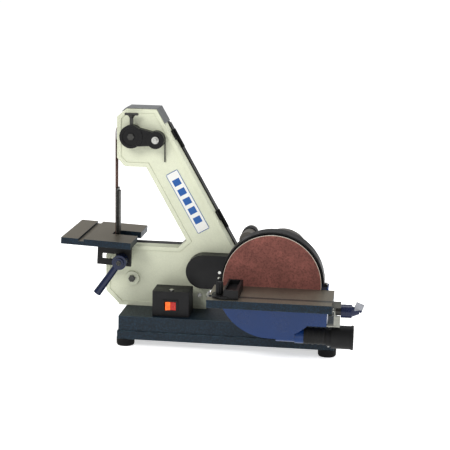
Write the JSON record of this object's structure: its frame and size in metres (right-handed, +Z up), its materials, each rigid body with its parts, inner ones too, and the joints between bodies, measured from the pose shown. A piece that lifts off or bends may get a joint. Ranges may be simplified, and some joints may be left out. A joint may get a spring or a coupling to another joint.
{
  "type": "belt disc sander",
  "caption": "Bench-top belt and disc sander: narrow vertical belt on a slanted cast frame with a tilting table, and a disc with a tilting table, miter gauge and dust port.",
  "frame": {"origin": "centre of the bench bolt pattern, on the underside of the base", "axes": "+X to the right along the base front, +Y to the back, +Z up"},
  "size_m": [0.6612, 0.4245, 0.5098],
  "materials": {
    "cast_paint": "satin",
    "dark_hammertone": "satin",
    "blue_paint": "gloss",
    "machined_table": "brushed",
    "black_paint": "satin",
    "bright_steel": "polished",
    "dark_steel": "satin",
    "zinc_plate": "satin",
    "cast_aluminium": "matte",
    "bearing_steel": "polished",
    "rubber": "matte",
    "abrasive": "matte",
    "black_plastic": "matte",
    "navy_plastic": "gloss",
    "red_plastic": "gloss",
    "motor_grey": "satin",
    "lamination": "matte",
    "label": "satin"
  },
  "bodies": {
    "chassis": {"base": "dark_hammertone", "rubber_feet": "rubber", "foot_screws": "bright_steel", "belt_frame": "cast_paint", "top_guard": "black_paint", "label_plate": "label", "platen": "dark_steel", "platen_bracket": "dark_steel", "abrasive_belt": "abrasive", "arm_pivot_bolt": "bright_steel", "tension_spring": "dark_steel", "lower_axle": "dark_steel", "clamp_bolts": "bright_steel", "pulley_cover": "black_paint", "drive_belt": "rubber", "shaft_bearings": "bearing_steel", "spindle_housing": "black_paint", "motor_shell": "motor_grey", "motor_bells": "motor_grey", "stator_core": "lamination", "motor_mounts": "black_paint", "capacitor": "black_plastic", "disc_guard": "black_paint", "disc_shroud": "blue_paint", "dust_tube": "black_plastic", "dust_port": "black_plastic", "support_bracket": "zinc_plate", "switch_box": "black_plastic", "switch_bezel": "black_plastic", "housing_screws": "bright_steel", "cord_gland": "rubber", "frame_latches": "black_paint"},
    "tension_arm_body": {"tension_arm": "black_paint", "upper_axle": "bright_steel"},
    "tracking_body": {"tracking_screw": "dark_steel"},
    "upper_idler_body": {"upper_idler_wheel": "cast_aluminium", "upper_idler_bearings": "bearing_steel"},
    "lower_idler_body": {"lower_idler_wheel": "cast_aluminium", "lower_idler_bearings": "bearing_steel"},
    "drive_body": {"drive_wheel": "rubber", "drive_shaft": "bright_steel", "driven_pulley": "cast_aluminium"},
    "arbor_body": {"arbor_shaft": "bright_steel", "rotor": "lamination", "motor_pulley": "cast_aluminium", "disc_plate": "cast_aluminium", "abrasive_disc": "abrasive"},
    "rear_cover_body": {"rear_cover": "black_paint", "cover_catches": "black_paint"},
    "belt_table_bracket_body": {"belt_table_bracket": "black_paint"},
    "belt_table_body": {"belt_table": "machined_table"},
    "belt_table_lever_body": {"belt_table_lever": "navy_plastic"},
    "disc_table_body": {"disc_table": "machined_table", "disc_trunnions": "dark_hammertone"},
    "disc_table_handle_body": {"disc_table_handle": "navy_plastic"},
    "miter_bar_body": {"miter_bar": "bright_steel"},
    "miter_head_body": {"miter_head": "black_paint", "miter_fence": "black_paint"},
    "miter_knob_body": {"miter_knob": "black_plastic"},
    "switch_rocker_body": {"switch_rocker": "red_plastic"}
  },
  "joints": [
    {"name": "arbor_spin", "type": "hinge", "parent": "chassis", "child": "arbor_body", "pos_m": [0.106, 0, 0.162], "axis": [0, 1, 0], "continuous": true},
    {"name": "belt_drive_spin", "type": "hinge", "parent": "chassis", "child": "drive_body", "pos_m": [-0.0506, 0, 0.143], "axis": [0, 1, 0], "continuous": true},
    {"name": "lower_idler_spin", "type": "hinge", "parent": "chassis", "child": "lower_idler_body", "pos_m": [-0.22075, 0.015, 0.1135], "axis": [0, 1, 0], "continuous": true},
    {"name": "tension_arm_swing", "type": "hinge", "parent": "chassis", "child": "tension_arm_body", "pos_m": [-0.167, -0.02, 0.4275], "axis": [0, -1, 0], "range_deg": [0, 7], "deforming": ["abrasive_belt"]},
    {"name": "upper_idler_spin", "type": "hinge", "parent": "tension_arm_body", "child": "upper_idler_body", "pos_m": [-0.22075, 0.015, 0.433], "axis": [0, 1, 0], "continuous": true},
    {"name": "tracking_turn", "type": "hinge", "parent": "tension_arm_body", "child": "tracking_body", "pos_m": [-0.22075, -0.0255, 0.46], "axis": [0, 0, 1], "range_deg": [-180, 180]},
    {"name": "rear_cover_lift_off", "type": "slide", "parent": "chassis", "child": "rear_cover_body", "axis": [0, 1, 0], "range_m": [0, 0.08]},
    {"name": "belt_table_tilt", "type": "hinge", "parent": "chassis", "child": "belt_table_bracket_body", "pos_m": [-0.237, 0, 0.163], "axis": [0, -1, 0], "range_deg": [0, 45]},
    {"name": "belt_table_shift", "type": "slide", "parent": "belt_table_bracket_body", "child": "belt_table_body", "axis": [0.999, 0, -0.0436], "range_m": [0, 0.025]},
    {"name": "belt_table_lever_turn", "type": "hinge", "parent": "chassis", "child": "belt_table_lever_body", "pos_m": [-0.237, -0.068, 0.163], "axis": [0, 1, 0], "range_deg": [-60, 20]},
    {"name": "disc_table_tilt", "type": "hinge", "parent": "chassis", "child": "disc_table_body", "pos_m": [0.106, -0.1905, 0.155], "axis": [1, 0, 0], "range_deg": [0, 45]},
    {"name": "disc_table_handle_turn", "type": "hinge", "parent": "chassis", "child": "disc_table_handle_body", "pos_m": [0.25, -0.2, 0.1157], "axis": [1, 0, 0], "range_deg": [-90, 90]},
    {"name": "miter_bar_slide", "type": "slide", "parent": "disc_table_body", "child": "miter_bar_body", "axis": [1, 0, 0], "range_m": [0, 0.15]},
    {"name": "miter_head_turn", "type": "hinge", "parent": "miter_bar_body", "child": "miter_head_body", "pos_m": [0.021, -0.28, 0.158], "axis": [0, 0, 1], "range_deg": [-45, 45]},
    {"name": "miter_knob_turn", "type": "hinge", "parent": "miter_bar_body", "child": "miter_knob_body", "pos_m": [0.01, -0.28, 0.17], "axis": [0, 0, 1], "range_deg": [-180, 180]},
    {"name": "switch_rock", "type": "hinge", "parent": "chassis", "child": "switch_rocker_body", "pos_m": [-0.122, -0.08, 0.075], "axis": [0, 0, 1], "range_deg": [-16, 0]}
  ],
  "couplings": [
    {"joint": "belt_drive_spin", "follows": "arbor_spin", "ratio": 0.5},
    {"joint": "lower_idler_spin", "follows": "arbor_spin", "ratio": 0.3875},
    {"joint": "upper_idler_spin", "follows": "arbor_spin", "ratio": 0.3875},
    {"joint": "belt_table_shift", "follows": "belt_table_tilt", "m_per_rad": 0.0315}
  ]
}
